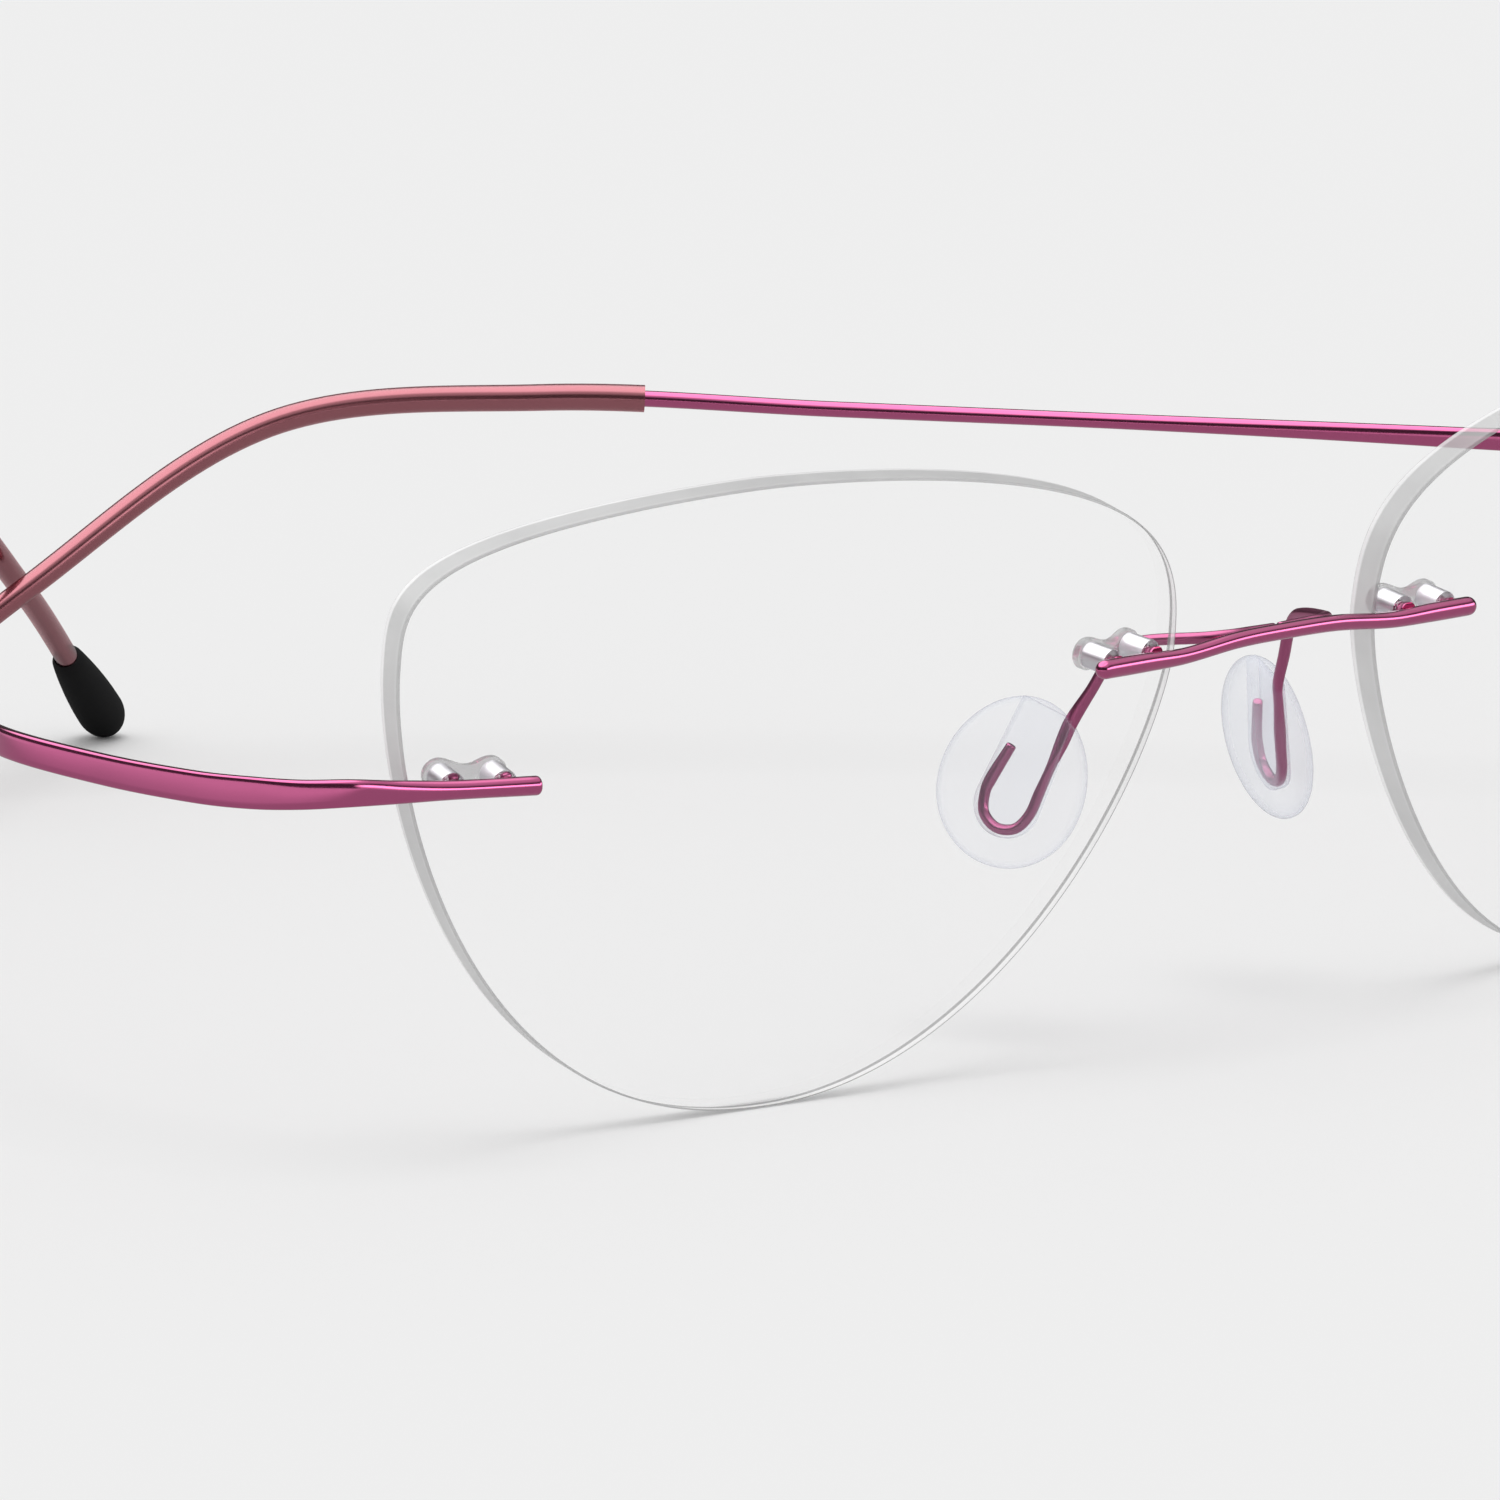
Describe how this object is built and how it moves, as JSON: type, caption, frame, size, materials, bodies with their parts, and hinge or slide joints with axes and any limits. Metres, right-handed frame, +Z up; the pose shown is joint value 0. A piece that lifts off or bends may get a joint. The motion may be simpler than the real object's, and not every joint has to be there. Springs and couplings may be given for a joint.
{
  "type": "rimless eyeglasses",
  "caption": "Rimless eyeglasses: clear curved lenses on a straight rod bridge with push-on nose pads, and slim hingeless temples that spring open.",
  "frame": {"origin": "on the table, at the middle of the glasses' bounding box seen from above", "axes": "+X towards the wearer's left, +Y back along the temples, +Z up"},
  "size_m": [0.137, 0.1184, 0.0372],
  "materials": {
    "lens": "clear, polished faces and edges",
    "titanium": "magenta, metallic, glossy",
    "clear_plastic": "clear, glossy",
    "silicone": "clear, soft and glossy",
    "sleeve": "rosy, see-through, satin",
    "rubber": "black, matte"
  },
  "bodies": {
    "front": {"lens_left": "lens", "lens_right": "lens", "bridge": "titanium", "pad_arm_left": "titanium", "pad_arm_right": "titanium", "nose_pad_left": "silicone", "nose_pad_right": "silicone", "nose_bush_left": "clear_plastic", "nose_bush_right": "clear_plastic", "temple_bush_left": "clear_plastic", "temple_bush_right": "clear_plastic", "end_piece_left": "titanium", "end_piece_right": "titanium", "flex_blade_left": "titanium", "flex_blade_right": "titanium"},
    "temple_left": {"temple_wire_left": "titanium", "sleeve_left": "sleeve", "tip_left": "rubber"},
    "temple_right": {"temple_wire_right": "titanium", "sleeve_right": "sleeve", "tip_right": "rubber"}
  },
  "joints": [
    {"name": "temple_left_flex", "type": "hinge", "parent": "front", "child": "temple_left", "pos_m": [0.0673, -0.04079, 0.02128], "axis": [0, 0, -1], "range_deg": [0, 35], "stiffness_Nm_per_rad": 0.25, "deforming": ["flex_blade_left"]},
    {"name": "temple_right_flex", "type": "hinge", "parent": "front", "child": "temple_right", "pos_m": [-0.0673, -0.04079, 0.02128], "axis": [0, 0, 1], "range_deg": [0, 35], "stiffness_Nm_per_rad": 0.25, "deforming": ["flex_blade_right"]}
  ],
  "couplings": [
    {"joint": "temple_right_flex", "follows": "temple_left_flex", "ratio": 1}
  ]
}
